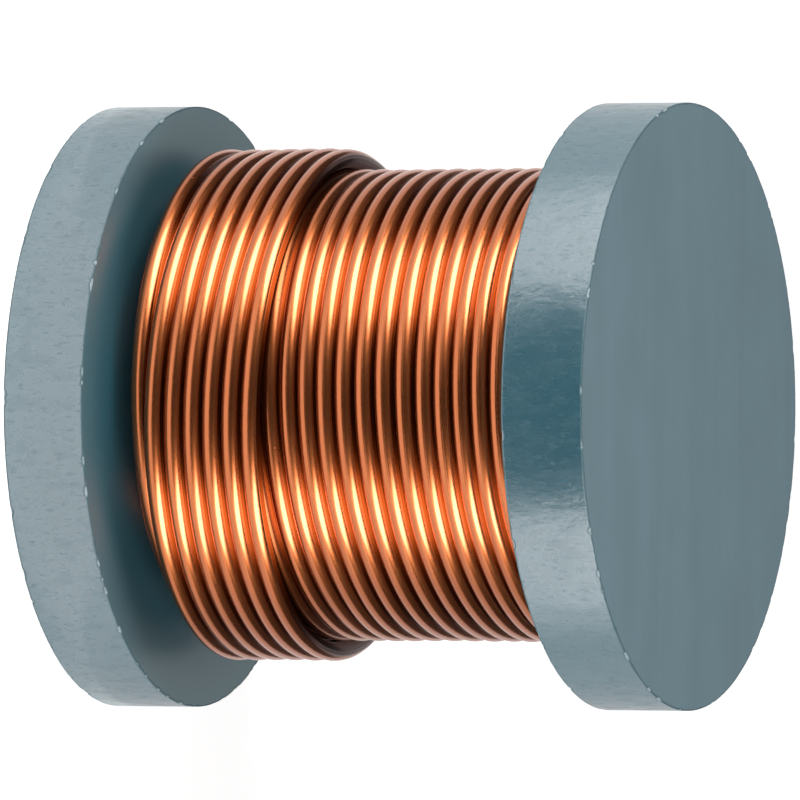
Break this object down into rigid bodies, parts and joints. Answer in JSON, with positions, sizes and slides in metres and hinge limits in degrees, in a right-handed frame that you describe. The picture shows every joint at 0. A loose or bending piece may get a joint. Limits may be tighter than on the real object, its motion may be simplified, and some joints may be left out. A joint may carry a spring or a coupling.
{
  "type": "inductor",
  "caption": "Drum-core choke coil: a one-piece ferrite drum with thick round flanges, wound in layers with enamelled copper wire, with both wire ends leaving at the back.",
  "frame": {"origin": "middle of the lower flange's outer face, on which the coil stands", "axes": "+Z along the drum's axis, up to the other flange; -Y to the front, where the picture looks from; the wire ends leave towards +Y"},
  "size_m": [0.043, 0.0517, 0.0436],
  "materials": {
    "ferrite": "ground, matte",
    "enamelled_copper": "clear enamel, glossy"
  },
  "bodies": {
    "root": {"drum_core": "ferrite", "winding": "enamelled_copper", "start_lead": "enamelled_copper", "finish_lead": "enamelled_copper"}
  },
  "joints": []
}
